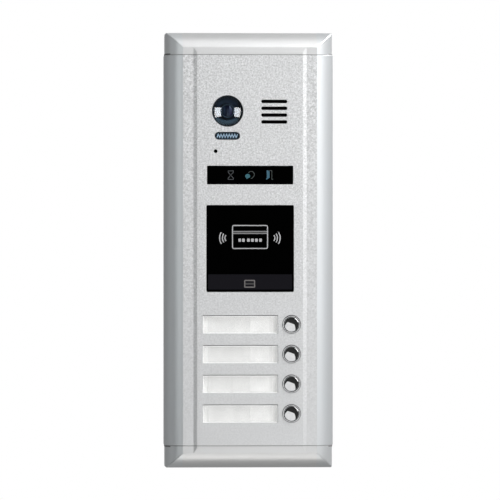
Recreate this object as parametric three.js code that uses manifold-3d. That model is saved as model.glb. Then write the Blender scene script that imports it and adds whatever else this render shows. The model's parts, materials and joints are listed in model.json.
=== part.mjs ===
// Door intercom panel: a video door station with a camera, a card reader and four call buttons.
// Millimetres, +Z up, front facing -Y, origin on the wall plane at the centre of the mounting bracket.
import * as THREE from "three";
import { mergeVertices } from "three/addons/utils/BufferGeometryUtils.js";
import Module from "manifold-3d";

// ---------------------------------------------------------------- driving dimensions
const WIDTH = 138; // overall width of the extruded body
const HEIGHT = 355.6; // overall height over both end caps
const FACE_Y = -42.0; // raised centre face
const STRIP_Y = -41.2; // lower strips on both sides of the centre face
const SKIN = 2.4; // wall behind the centre face
const CENTRE_HALF = 43.2; // half width of the raised centre face
const STEP_HALF = 46.2; // outer foot of the shallow step
const CREASE_HALF = 54.8; // where the rounded flank starts
const FLANK_R = 21.9; // radius of the rounded flank
const FLANK_T0 = 20.4; // flank tangent angles, degrees
const FLANK_T1 = 86.0;
const SIDE_T = 2.2; // side wall thickness
const RIM_Y = -2.5; // rear rim of body and caps
const BODY_HALF = 159.2; // half length of the extrusion
const CAP_START = 159.8; // end caps start here, leaving a fine joint line
const CAP_CREASE = 165.6; // where the end bevel of a cap starts
const CAP_SLOPE = 161.4; // where the raised centre starts to run out on a cap
const CAP_INSET = 0.5; // caps are this much narrower on each side
const TONGUE_Z = 152; // the caps' tongues reach this far into the body

const CAMERA = { x: -18.4, y: -31, z: 113.5 };
const LAMP = { x: -18.6, z: 93.3, w: 20.2, h: 6.0 };
const MIC = { x: -28.1, z: 80.75, r: 1.45 };
const SPEAKER = { x: 19.7, z: 113.0, slotW: 21.3, slotH: 2.8, pitch: 5.57, slots: 4 };
const STATUS = { x: 0, z: 61.3, w: 69.9, h: 14.7 };
const READER = { x: 0, z: 1.35, w: 71.0, h: 70.4 };
const NAME = { x: -8.0, w: 61.0, h: 14.6 };
const BUTTON = { x: 33.9, capR: 6.2, boreR: 6.4, barrelR: 7.0, ringR: 7.6, travel: 1.5 };
const ROW_Z = [-60.4, -84.65, -108.9, -133.15];
const CAP_SCREW = { x: 50, z: 163.2 };
const WALL_HOLE = { x: 42, z: 145, r: 2.5 };
const CABLE = { halfW: 30, z0: 25, z1: 95 };

// ---------------------------------------------------------------- solids
const wasm = await Module();
wasm.setup();

function solid(geometry) {
  const g = geometry.clone();
  g.deleteAttribute("normal");
  g.deleteAttribute("uv");
  const m = mergeVertices(g, 1e-4);
  const p = m.attributes.position.array;
  const src = m.index.array;
  const tri = [];
  for (let i = 0; i < src.length; i += 3)
    if (src[i] !== src[i + 1] && src[i + 1] !== src[i + 2] && src[i] !== src[i + 2])
      tri.push(src[i], src[i + 1], src[i + 2]);
  let s = new wasm.Manifold(
    new wasm.Mesh({ numProp: 3, vertProperties: new Float32Array(p), triVerts: new Uint32Array(tri) }),
  );
  if (s.volume() < 0) {
    for (let i = 0; i < tri.length; i += 3) [tri[i + 1], tri[i + 2]] = [tri[i + 2], tri[i + 1]];
    s = new wasm.Manifold(
      new wasm.Mesh({ numProp: 3, vertProperties: new Float32Array(p), triVerts: new Uint32Array(tri) }),
    );
  }
  return s;
}

function geometryOf(s) {
  const m = s.getMesh();
  const v = new Float32Array(m.numVert * 3);
  for (let i = 0; i < m.numVert; i++)
    for (let k = 0; k < 3; k++) v[i * 3 + k] = m.vertProperties[i * m.numProp + k];
  const g = new THREE.BufferGeometry();
  g.setAttribute("position", new THREE.BufferAttribute(v, 3));
  g.setIndex(new THREE.BufferAttribute(new Uint32Array(m.triVerts), 1));
  g.computeVertexNormals();
  return g;
}

const shapeOf = (pts) => new THREE.Shape(pts.map(([a, b]) => new THREE.Vector2(a, b)));
const raw = (pts, depth) =>
  new THREE.ExtrudeGeometry(shapeOf(pts), { depth, bevelEnabled: false, steps: 1 });

// outline in (x, y), swept along z
function alongZ(pts, z0, z1) {
  return solid(raw(pts, z1 - z0).translate(0, 0, z0));
}
// outline in (x, z), swept along y
function alongY(pts, y0, y1) {
  return solid(raw(pts, y1 - y0).rotateX(Math.PI / 2).translate(0, y1, 0));
}
// outline in (y, z), swept along x
function alongX(pts, x0, x1) {
  const m = new THREE.Matrix4().makeBasis(
    new THREE.Vector3(0, 1, 0),
    new THREE.Vector3(0, 0, 1),
    new THREE.Vector3(1, 0, 0),
  );
  return solid(raw(pts, x1 - x0).applyMatrix4(m).translate(x0, 0, 0));
}
function block(x0, x1, y0, y1, z0, z1) {
  return solid(
    new THREE.BoxGeometry(x1 - x0, y1 - y0, z1 - z0).translate((x0 + x1) / 2, (y0 + y1) / 2, (z0 + z1) / 2),
  );
}
// profile of [r, y] turned about an axis along y through (x, z)
function turned(profile, segments, x = 0, z = 0) {
  return solid(
    new THREE.LatheGeometry(profile.map(([r, y]) => new THREE.Vector2(r, y)), segments).translate(x, 0, z),
  );
}
function rod(r, y0, y1, segments = 20, x = 0, z = 0) {
  return turned([[0, y0], [r, y0], [r, y1], [0, y1]], segments, x, z);
}
// the same about an axis along z through (x, y)
function rodZ(r, z0, z1, segments, x, y) {
  return solid(
    new THREE.CylinderGeometry(r, r, z1 - z0, segments).rotateX(Math.PI / 2).translate(x, y, (z0 + z1) / 2),
  );
}
function rodX(r, x0, x1, segments, y, z) {
  return solid(
    new THREE.CylinderGeometry(r, r, x1 - x0, segments).rotateZ(Math.PI / 2).translate((x0 + x1) / 2, y, z),
  );
}
function roundedRect(cx, cz, w, h, r, n = 4) {
  const out = [];
  const corners = [
    [cx + w / 2 - r, cz - h / 2 + r, -90],
    [cx + w / 2 - r, cz + h / 2 - r, 0],
    [cx - w / 2 + r, cz + h / 2 - r, 90],
    [cx - w / 2 + r, cz - h / 2 + r, 180],
  ];
  for (const [x, z, a0] of corners)
    for (let i = 0; i <= n; i++) {
      const a = ((a0 + (90 * i) / n) * Math.PI) / 180;
      out.push([x + r * Math.cos(a), z + r * Math.sin(a)]);
    }
  return out;
}
function plate(cx, cz, w, h, r, y0, y1, n = 4) {
  return alongY(roundedRect(cx, cz, w, h, r, n), y0, y1);
}
const join = (...parts) => parts.reduce((a, b) => a.add(b));
const cut = (a, ...tools) => tools.reduce((s, t) => s.subtract(t), a);

// ---------------------------------------------------------------- materials
const finish = (color, roughness, metalness, opacity = 1) =>
  new THREE.MeshStandardMaterial({ color, roughness, metalness, opacity, transparent: opacity < 1 });
const MAT = {
  silver: finish(0xd2d3d3, 0.45, 0.6),
  capSilver: finish(0xc9cbcb, 0.4, 0.6),
  blackPlastic: finish(0x17181a, 0.55, 0.0),
  glossBlack: finish(0x050507, 0.08, 0.0),
  smoke: finish(0x1b1a1f, 0.12, 0.0),
  clear: finish(0xf2f5f6, 0.05, 0.0, 0.35),
  chrome: finish(0xdfe1e3, 0.06, 1.0),
  steel: finish(0xb4b7ba, 0.35, 1.0),
  rubber: finish(0x1c1c1c, 0.85, 0.0),
  paper: finish(0xf4f4f2, 0.8, 0.0),
  milky: finish(0xeef0ee, 0.4, 0.0),
  board: finish(0x1f5a38, 0.5, 0.0),
  terminal: finish(0x2f8f4a, 0.45, 0.0),
  magnet: finish(0x4a4b4d, 0.5, 0.8),
  cone: finish(0x232323, 0.8, 0.0),
  cloth: finish(0x0b0b0b, 0.95, 0.0),
  blueKnob: finish(0x2f62b5, 0.45, 0.0),
  lensGlass: finish(0x10162a, 0.03, 0.0, 0.6),
};

const panel = new THREE.Group();
function add(name, s, material, at = [0, 0, 0], into = panel) {
  const mesh = new THREE.Mesh(geometryOf(s), material);
  mesh.name = name;
  mesh.position.set(...at);
  into.add(mesh);
  return mesh;
}

// ---------------------------------------------------------------- body profile
const rad = (d) => (d * Math.PI) / 180;
const FLANK_CX = CREASE_HALF - FLANK_R * Math.sin(rad(FLANK_T0));
const FLANK_CY = STRIP_Y + FLANK_R * Math.cos(rad(FLANK_T0));
function flank(r, n, dx = 1) {
  const pts = [];
  for (let i = 0; i <= n; i++) {
    const t = rad(FLANK_T0 + ((FLANK_T1 - FLANK_T0) * i) / n);
    const x = FLANK_CX + r * Math.sin(t);
    pts.push([CREASE_HALF + (x - CREASE_HALF) * dx, FLANK_CY - r * Math.cos(t)]);
  }
  return pts;
}
const mirrored = (half) => [...half, ...[...half].reverse().map(([x, y]) => [-x, y])];
// outer outline of the body, closed across the open back at rearY
function outerOutline(rearY, dx = 1) {
  const arc = flank(FLANK_R, 8, dx);
  const side = arc[arc.length - 1][0];
  return mirrored([[CENTRE_HALF, FACE_Y], [STEP_HALF, STRIP_Y], ...arc, [side, rearY]]);
}
// the channel inside the body, inset by d from the real inner face
function innerOutline(rearY, d = 0) {
  const arc = flank(FLANK_R - SIDE_T - d, 6);
  const side = arc[arc.length - 1][0];
  return mirrored([
    [CENTRE_HALF - 0.4 * d, FACE_Y + SKIN + d],
    [STEP_HALF - 0.4 * d, STRIP_Y + 2.1 + d],
    [arc[0][0], STRIP_Y + 2.1 + d],
    ...arc.slice(1),
    [side, rearY],
  ]);
}
// end outlines in (y, z): the same flank turned over the cap's end
function endOutline(r, z0, front, crease, end, slope) {
  const k = (HEIGHT / 2 - CAP_CREASE) / (WIDTH / 2 - CREASE_HALF);
  const arc = flank(r, 8).map(([x, y]) => [y, CAP_CREASE + (x - CREASE_HALF) * k]);
  arc[arc.length - 1][1] = end;
  const pts = [[5, z0], [front, z0]];
  if (slope) pts.push([front, slope]);
  return [...pts, [arc[0][0], crease], ...arc.slice(1), [5, end]];
}

// ---------------------------------------------------------------- front panel (aluminium extrusion)
{
  let s = alongZ(outerOutline(RIM_Y), -BODY_HALF, BODY_HALF);
  s = cut(s, alongZ(innerOutline(5), -BODY_HALF - 1, BODY_HALF + 1));
  // ledges that carry the rear cover, and rails that hold the inner chassis
  for (const k of [-1, 1]) {
    const [a, b] = k < 0 ? [-67.6, -62.2] : [62.2, 67.6];
    s = join(s, block(a, b, -8.4, -6.9, -BODY_HALF, BODY_HALF).subtract(block(-200, 200, -60, 60, 151.5, 400)).subtract(block(-200, 200, -60, 60, -400, -151.5)));
    const [c, d] = k < 0 ? [-62.4, -52] : [52, 62.4];
    s = join(s, block(c, d, -34.6, -33.0, -151.5, 151.5));
  }
  s = cut(
    s,
    rod(12.85, -45, -38, 24, CAMERA.x, CAMERA.z),
    plate(LAMP.x, LAMP.z, LAMP.w + 0.4, LAMP.h + 0.4, (LAMP.h + 0.4) / 2 - 0.01, -45, -38, 6),
    rod(MIC.r, -45, -38, 12, MIC.x, MIC.z),
    plate(STATUS.x, STATUS.z, STATUS.w + 0.6, STATUS.h + 0.6, 0.6, -45, -38, 2),
    plate(READER.x, READER.z, READER.w + 0.6, READER.h + 0.6, 1.2, -45, -38, 3),
  );
  for (let i = 0; i < SPEAKER.slots; i++)
    s = cut(
      s,
      plate(SPEAKER.x, SPEAKER.z + SPEAKER.pitch * (1.5 - i), SPEAKER.slotW, SPEAKER.slotH, SPEAKER.slotH / 2 - 0.01, -45, -38, 3),
    );
  for (const z of ROW_Z)
    s = cut(
      s,
      plate(NAME.x, z, NAME.w + 0.4, NAME.h + 0.4, 0.5, -45, -38, 2),
      rod(BUTTON.barrelR + 0.25, -45, -38, 16, BUTTON.x, z),
    );
  add("front_panel", s, MAT.silver);
}

// ---------------------------------------------------------------- end caps
function cap() {
  const dx = (WIDTH / 2 - CREASE_HALF - CAP_INSET) / (WIDTH / 2 - CREASE_HALF);
  const outer = alongZ(outerOutline(RIM_Y, dx), CAP_START, HEIGHT / 2 + 1).intersect(
    alongX(endOutline(FLANK_R, CAP_START - 1, FACE_Y, CAP_CREASE, HEIGHT / 2, CAP_SLOPE), -80, 80),
  );
  const hollow = alongZ(innerOutline(5, 2.2), TONGUE_Z - 5, HEIGHT / 2 + 1).intersect(
    alongX(endOutline(FLANK_R - 4.2, TONGUE_Z - 6, FACE_Y + 4.6, CAP_CREASE - 0.6, 175.0, 0), -80, 80),
  );
  const tongue = alongZ(innerOutline(-9.5, 0.4), TONGUE_Z, CAP_START + 0.5);
  let s = join(outer, tongue).subtract(hollow);
  for (const k of [-1, 1])
    s = join(s, rod(3.8, -38.2, -7.0, 12, k * CAP_SCREW.x, CAP_SCREW.z)).subtract(
      rod(1.8, -20, -3, 10, k * CAP_SCREW.x, CAP_SCREW.z),
    );
  return s;
}
{
  // the rib behind which the bracket's hooks catch
  const rib = block(-48, 48, -5.8, -3.0, 171.5, 175.6);
  add("top_end_cap", join(cap(), rib), MAT.capSilver);
  let low = cap().mirror([0, 0, 1]);
  low = join(low, rodZ(6, -176.6, -172.2, 20, 0, -12));
  low = cut(low, rodZ(4.0, -179, -174.2, 20, 0, -12), rodZ(2.3, -175, -170, 16, 0, -12));
  add("bottom_end_cap", low, MAT.capSilver);
}

// ---------------------------------------------------------------- wall bracket, seal and screws
{
  let s = plate(0, 0, 124, 342.4, 4, -1.5, 0, 3);
  // bottom flange with the threaded hole, and two top hooks
  s = join(s, block(-14, 14, -18, -0.2, -171.2, -169.7));
  s = cut(s, rodZ(2.2, -173, -168, 16, 0, -12));
  for (const x of [-30, 30])
    s = join(s, block(x - 7, x + 7, -8, -0.2, 169.7, 171.2), block(x - 7, x + 7, -8, -6.6, 169.7, 173.6));
  s = cut(s, plate(0, (CABLE.z0 + CABLE.z1) / 2, CABLE.halfW * 2, CABLE.z1 - CABLE.z0, 4, -3, 1, 3));
  for (const x of [-WALL_HOLE.x, WALL_HOLE.x])
    for (const z of [-WALL_HOLE.z, WALL_HOLE.z]) s = cut(s, rod(WALL_HOLE.r, -3, 1, 12, x, z));
  for (const x of [-30, 30]) s = cut(s, plate(x, -40, 9, 5, 2.49, -3, 1, 3));
  for (const z of [-100, -75]) s = cut(s, plate(0, z, 30, 8, 3.99, -3, 1, 3));
  add("wall_bracket", s, MAT.steel);

  const ring = plate(0, 0, 136.4, 354.2, 1.5, -2.2, 0, 2).subtract(plate(0, 0, 129.6, 347.4, 1.5, -3, 1, 2));
  add("wall_seal", ring, MAT.rubber);

  // security screw, driven from below: countersunk socket head
  let screw = join(rodZ(3.6, -176.7, -174.5, 20, 0, -12), rodZ(1.85, -174.6, -165.5, 14, 0, -12));
  screw = screw.subtract(rodZ(1.5, -178, -175.6, 6, 0, -12));
  add("security_screw", screw, MAT.steel);
}

// ---------------------------------------------------------------- rear cover and its screws
{
  let s = plate(0, 0, 128, 337, 3, -6.5, -4.5, 3);
  // shallow rim and stiffening ribs on the inside
  s = join(
    s,
    block(-58, -56.5, -10, -6.4, -150, 150),
    block(56.5, 58, -10, -6.4, -150, 150),
    block(-57, 57, -9, -6.4, -100.7, -99.3),
    block(-57, 57, -9, -6.4, -40.7, -39.3),
  );
  for (const x of [-42, 42])
    for (const z of [-12, 140]) s = join(s, rod(3, -15.7, -6.4, 10, x, z));
  s = cut(s, plate(0, 56, 48, 24, 2, -12, -2, 2), rod(3.6, -12, -2, 16, 18, 82));
  for (const x of [-CAP_SCREW.x, CAP_SCREW.x])
    for (const z of [-CAP_SCREW.z, CAP_SCREW.z])
      s = cut(s, rod(1.8, -9, -2, 10, x, z), rod(3.3, -5.5, -2, 12, x, z));
  add("rear_cover", s, MAT.blackPlastic);
  const screw = () =>
    join(rod(2.9, -5.2, -3.4, 12), rod(1.45, -15, -5.1, 8)).subtract(
      join(block(-0.45, 0.45, -4.3, -3, -2, 2), block(-2, 2, -4.3, -3, -0.45, 0.45)),
    );
  let n = 1;
  for (const z of [CAP_SCREW.z, -CAP_SCREW.z])
    for (const x of [-CAP_SCREW.x, CAP_SCREW.x]) add("rear_cover_screw_" + n++, screw(), MAT.steel, [x, 0, z]);
}

// ---------------------------------------------------------------- inner chassis
{
  const y0 = -36.4;
  const y1 = -34.9;
  let s = plate(0, 0, 112, 300, 3, y0, y1, 2);
  s = cut(
    s,
    rod(15.4, -40, -30, 20, CAMERA.x, CAMERA.z),
    rod(18.6, -40, -30, 20, SPEAKER.x, SPEAKER.z),
    rod(5.3, -40, -30, 12, MIC.x, MIC.z),
    block(LAMP.x - 11.4, LAMP.x + 11.4, -40, -30, LAMP.z - 3.6, LAMP.z + 3.6),
    block(-33.6, 33.6, -40, -30, 54.5, 68.5),
    block(-39.6, 23.6, -40, -30, -144.5, -49.0),
  );
  for (const z of ROW_Z) s = cut(s, rod(7.6, -40, -30, 16, BUTTON.x, z));
  for (const x of [-45, 47]) for (const z of [-46, -148]) s = join(s, rod(2.5, -35.5, -23.3, 8, x, z));
  add("inner_chassis", s, MAT.blackPlastic);
}

// ---------------------------------------------------------------- camera
{
  const { x, z } = CAMERA;
  const at = [x, 0, z];
  // clear dome with a clamped flange
  const cy = FACE_Y - 4.5 + 18.8;
  const arc = (R, a0, a1, n) =>
    [...Array(n + 1).keys()].map((i) => {
      const r = a0 + ((a1 - a0) * i) / n;
      return [r, cy - Math.sqrt(R * R - r * r)];
    });
  add(
    "camera_dome",
    turned(
      [...arc(18.8, 0, 12.45, 4), [12.45, -38.0], [15, -38.0], [15, -36.8], [11, -36.8], ...arc(17.3, 11, 0, 3)],
      24,
    ),
    MAT.clear,
    at,
  );
  add("dome_seal", turned([[13.1, -39.3], [14.9, -39.3], [14.9, -38.3], [13.1, -38.3], [13.1, -39.3]], 16), MAT.rubber, at);
  // fixed socket, gimbal ring that pans, ball that tilts in the ring
  let socket = turned(
    [[12.4, -36.3], [14.8, -36.3], [14.8, -34.6], [18, -34.6], [18, -33.2], [14.8, -33.2], [14.8, -22.5], [12.4, -22.5], [12.4, -36.3]],
    20,
  );
  socket = socket.subtract(rodZ(1.5, -20, 20, 12, 0, CAMERA.y));
  add("camera_socket", socket, MAT.blackPlastic, at);
  let ring = turned([[9.5, -33], [11.6, -33], [11.6, -29], [9.5, -29], [9.5, -33]], 20);
  ring = join(ring, rodZ(1.2, 10.6, 13.8, 12, 0, CAMERA.y), rodZ(1.2, -13.8, -10.6, 12, 0, CAMERA.y));
  ring = ring.subtract(rodX(1.5, -20, 20, 12, CAMERA.y, 0));
  add("camera_gimbal_ring", ring, MAT.blackPlastic, at);
  const R = 9.0;
  const ballArc = [];
  for (const a of [44, 67, 90, 112, 134]) ballArc.push([R * Math.sin(rad(a)), CAMERA.y + R * Math.cos(rad(a))]);
  let ball = turned(
    [[0, ballArc[0][1]], ...ballArc, [9.6, -36.4], [9.6, -37.2], [6.4, -39.2], [5.8, -41.0], [4.7, -41.0], [4.7, -39.9], [0, -39.9]],
    20,
  );
  ball = join(ball, rodX(1.2, 8.4, 11.2, 12, CAMERA.y, 0), rodX(1.2, -11.2, -8.4, 12, CAMERA.y, 0));
  add("camera_ball", ball, MAT.glossBlack, at);
  add("camera_lens", turned([[0, -41.3], [2.4, -41.0], [4.4, -40.2], [0, -40.2]], 20), MAT.lensGlass, at);
  add("camera_board", block(-15, 15, -22.2, -21.0, -15, 15), MAT.board, at);
}

// ---------------------------------------------------------------- night lamp, microphone, loudspeaker
{
  add(
    "lamp_window",
    join(
      plate(LAMP.x, LAMP.z, LAMP.w, LAMP.h, LAMP.h / 2 - 0.01, -41.8, -38.6, 6),
      plate(LAMP.x, LAMP.z, LAMP.w + 3, LAMP.h + 2.6, 2, -39.2, -38.1, 3),
    ),
    MAT.clear,
  );
  let led = block(LAMP.x - 10.8, LAMP.x + 10.8, -36.2, -35.0, LAMP.z - 3, LAMP.z + 3);
  for (let i = 0; i < 5; i++) {
    const x = LAMP.x - 7.6 + 3.8 * i;
    led = join(led, block(x - 1.2, x + 1.2, -37.2, -36.1, LAMP.z - 1.2, LAMP.z + 1.2));
  }
  add("lamp_board", led, MAT.milky);
  add("microphone", join(rod(4.85, -38.8, -32.4, 12), rod(3.2, -39.2, -38.7, 12)), MAT.magnet, [MIC.x, 0, MIC.z]);
  const at = [SPEAKER.x, 0, SPEAKER.z];
  add("speaker_mesh", plate(SPEAKER.x, SPEAKER.z, 25, 23.5, 1, -39.35, -38.95, 1), MAT.cloth);
  add(
    "speaker_frame",
    turned(
      [[16.8, -38.6], [18, -38.6], [18, -37.2], [12.2, -32.6], [10.6, -32.6], [10.6, -26.8], [0, -26.8], [0, -31.6], [9.2, -31.6], [16.8, -37.0], [16.8, -38.6]],
      20,
    ),
    MAT.magnet,
    at,
  );
  add(
    "speaker_cone",
    turned([[0, -36.6], [4.4, -35.6], [15.6, -38.2], [16.4, -38.2], [16.4, -37.7], [15.6, -37.6], [4.4, -34.9], [0, -35.9]], 20),
    MAT.cone,
    at,
  );
}

// ---------------------------------------------------------------- status window and card reader
{
  const { x, z, w, h } = STATUS;
  add(
    "status_window",
    join(plate(x, z, w, h, 0.5, -41.8, -38.6, 2), plate(x, z, w + 4.6, h + 4.6, 1.5, -39.2, -38.1, 2)),
    MAT.glossBlack,
  );
  let guide = block(-33, 33, -37.8, -17.9, 55, 68);
  for (const cx of [-19.5, 0, 19.5]) guide = guide.subtract(block(cx - 7, cx + 7, -40, -15, 56.6, 66.4));
  add("status_light_guide", guide, MAT.blackPlastic);
}
{
  const { x, z, w, h } = READER;
  let s = join(plate(x, z, w, h, 1.0, -41.8, -38.6, 3), plate(x, z, w + 5, h + 5, 2, -39.2, -38.1, 2));
  s = s.subtract(block(-34.3, 34.3, -43, -40.4, -32.35, -19.35));
  add("reader_window", s, MAT.glossBlack);
  add("reader_strip", block(-34.0, 34.0, -41.8, -40.7, -32.05, -19.65), MAT.smoke);
  add("antenna_board", plate(0, 3, 66, 62, 2, -37.8, -36.8, 2).subtract(block(-12, 12, -40, -30, -4, 10)), MAT.board);
}

// ---------------------------------------------------------------- name plates
ROW_Z.forEach((z, i) => {
  add(
    "name_window_" + (i + 1),
    join(
      plate(NAME.x, 0, NAME.w, NAME.h, 0.4, -41.2, -38.4, 1),
      plate(NAME.x, 0, NAME.w + 3.4, NAME.h + 3.2, 1, -39.1, -38.1, 1),
    ),
    MAT.clear,
    [0, 0, z],
  );
  add("name_card_" + (i + 1), block(NAME.x - 26.2, NAME.x + 26.2, -37.8, -37.4, -6.3, 6.3), MAT.paper, [0, 0, z]);
});
add("name_light_guide", block(-38.6, 22.6, -37.1, -33.9, -143.6, -50.0), MAT.milky);

// ---------------------------------------------------------------- call buttons
// each: a fixed bezel, a domed cap on a stem, a return spring and a switch
function helix(r, y0, y1, turns) {
  const pts = [];
  const n = Math.round(turns * 10);
  for (let i = 0; i <= n; i++) {
    const a = (2 * Math.PI * turns * i) / n;
    pts.push(new THREE.Vector3(r * Math.cos(a), y0 + ((y1 - y0) * i) / n, r * Math.sin(a)));
  }
  return new THREE.CatmullRomCurve3(pts);
}
ROW_Z.forEach((z, i) => {
  const at = [BUTTON.x, 0, z];
  const n = i + 1;
  const { capR, boreR, barrelR, ringR } = BUTTON;
  add(
    "button_bezel_" + n,
    turned(
      [[boreR, -42.7], [boreR + 0.3, -43.0], [ringR - 0.35, -43.0], [ringR, -42.7], [ringR, -42.3], [barrelR, -42.3], [barrelR, -33.6], [boreR, -33.6], [boreR, -42.7]],
      16,
    ),
    MAT.chrome,
    at,
  );
  add(
    "button_cap_" + n,
    turned(
      [
        [0, -45.2], [2.6, -45.0], [4.6, -44.4], [5.8, -43.6], [capR, -42.8], [capR, -33.2], [7.2, -33.2], [7.2, -31.8],
        [5.2, -31.8], [5.2, -41.2], [1.6, -41.2], [1.6, -27.4], [0, -27.4],
      ],
      16,
    ),
    MAT.chrome,
    at,
  );
  const coil = new THREE.ExtrudeGeometry(
    new THREE.Shape([new THREE.Vector2(0.4, 0), new THREE.Vector2(0, 0.4), new THREE.Vector2(-0.4, 0), new THREE.Vector2(0, -0.4)]),
    { extrudePath: helix(3.5, -40.4, -28.5, 3.5), steps: 28, bevelEnabled: false },
  );
  add("button_spring_" + n, solid(coil), MAT.steel, at);
  add(
    "call_switch_" + n,
    block(-4.2, 4.2, -27.7, -23.3, -4.2, 4.2).subtract(rod(2.0, -29, -24.6, 12)),
    MAT.blackPlastic,
    at,
  );
});

// ---------------------------------------------------------------- circuit boards, terminals and volume trimmer
add("button_board", plate(1, -97, 100, 108, 2, -23.0, -21.4, 1), MAT.board);
{
  let s = plate(0, 65, 98, 170, 2, -17.6, -16.0, 1);
  for (const cx of [-19.5, 0, 19.5]) s = s.add(block(cx - 1.8, cx + 1.8, -19.0, -17.5, 59.7, 63.3));
  add("main_board", s, MAT.board);
  let t = block(-21, 21, -15.7, -5.2, 50, 62);
  for (let i = 0; i < 8; i++) {
    const x = -17.5 + 5 * i;
    t = cut(t, block(x - 1.6, x + 1.6, -7.4, -4, 58.2, 61.0), block(x - 1.6, x + 1.6, -12.5, -9.0, 48, 54));
  }
  add("terminal_block", t, MAT.terminal);
  add("volume_trimmer", block(14.4, 21.6, -15.7, -11.2, 78.4, 85.6).subtract(rod(2.7, -13.0, -10, 16, 18, 82)), MAT.blackPlastic);
  add(
    "volume_knob",
    rod(2.35, -12.7, -9.4, 16).subtract(block(-0.4, 0.4, -10.4, -8, -3, 3)),
    MAT.blueKnob,
    [18, 0, 82],
  );
}

export default panel;
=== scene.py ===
import json
import math

import bpy
import bmesh
from mathutils import Vector, Matrix
from mathutils.geometry import tessellate_polygon

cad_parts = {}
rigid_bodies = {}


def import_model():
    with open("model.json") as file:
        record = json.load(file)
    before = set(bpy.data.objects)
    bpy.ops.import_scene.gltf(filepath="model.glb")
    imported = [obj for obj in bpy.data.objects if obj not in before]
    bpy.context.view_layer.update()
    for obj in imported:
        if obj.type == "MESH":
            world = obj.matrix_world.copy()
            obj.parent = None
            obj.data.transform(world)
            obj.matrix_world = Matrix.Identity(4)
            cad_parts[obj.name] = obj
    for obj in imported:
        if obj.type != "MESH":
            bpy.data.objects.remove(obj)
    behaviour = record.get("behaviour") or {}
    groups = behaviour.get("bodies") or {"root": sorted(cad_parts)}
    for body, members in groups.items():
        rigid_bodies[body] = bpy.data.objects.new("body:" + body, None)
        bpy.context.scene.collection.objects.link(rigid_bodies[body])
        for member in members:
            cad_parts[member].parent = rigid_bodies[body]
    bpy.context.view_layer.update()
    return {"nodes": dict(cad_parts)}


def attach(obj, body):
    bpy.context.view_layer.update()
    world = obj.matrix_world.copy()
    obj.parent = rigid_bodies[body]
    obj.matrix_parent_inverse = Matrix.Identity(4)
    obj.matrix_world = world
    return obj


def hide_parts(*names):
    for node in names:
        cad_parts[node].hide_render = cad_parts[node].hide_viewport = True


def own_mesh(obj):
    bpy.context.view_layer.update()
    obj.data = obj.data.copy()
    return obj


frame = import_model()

SCENE = bpy.context.scene
MM = 0.001

# ------------------------------------------------------------------ dimensions, millimetres, as in the CAD
FACE_Y, STRIP_Y = -42.0, -41.2
CENTRE_HALF, STEP_HALF, CREASE_HALF = 43.2, 46.2, 54.8
FLANK_R, FLANK_T0, FLANK_T1 = 21.9, 20.4, 86.0
RIM_Y = -2.5
BODY_HALF, CAP_START, CAP_CREASE, CAP_SLOPE, HALF_H = 159.32, 159.72, 165.6, 161.4, 177.8
CAMERA = (-18.4, -31.0, 113.5)
LAMP = (-18.6, 93.3, 20.2, 6.0)
MIC = (-28.1, 80.75, 1.55)
SPEAKER = (19.7, 113.0, 21.3, 2.8, 5.57)
STATUS = (0.0, 61.3, 69.9, 14.7)
READER = (0.0, 1.35, 71.0, 70.4)
NAME = (-8.0, 61.0, 14.6)
BUTTON_X = 33.9
ROW_Z = (-60.4, -84.65, -108.9, -133.15)


def rad(a):
    return a * math.pi / 180.0


# ------------------------------------------------------------------ camera
AZ, EL, DIST = -3.4, 0.0, 4.5
PX = 0.8153 * MM  # size of one picture pixel at the front face
target = Vector((-0.00010, FACE_Y * MM, 0.0002))
cam_data = bpy.data.cameras.new("camera")
cam = bpy.data.objects.new("camera", cam_data)
SCENE.collection.objects.link(cam)
back = Vector((math.sin(rad(AZ)) * math.cos(rad(EL)), -math.cos(rad(AZ)) * math.cos(rad(EL)), math.sin(rad(EL))))
cam.location = target + back * DIST
cam.rotation_mode = "QUATERNION"
cam.rotation_quaternion = (-back).to_track_quat("-Z", "Y")
cam_data.sensor_width = 36.0
cam_data.lens = 36.0 * DIST / (500 * PX)
cam_data.clip_start, cam_data.clip_end = 0.05, 100.0
SCENE.camera = cam


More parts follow.
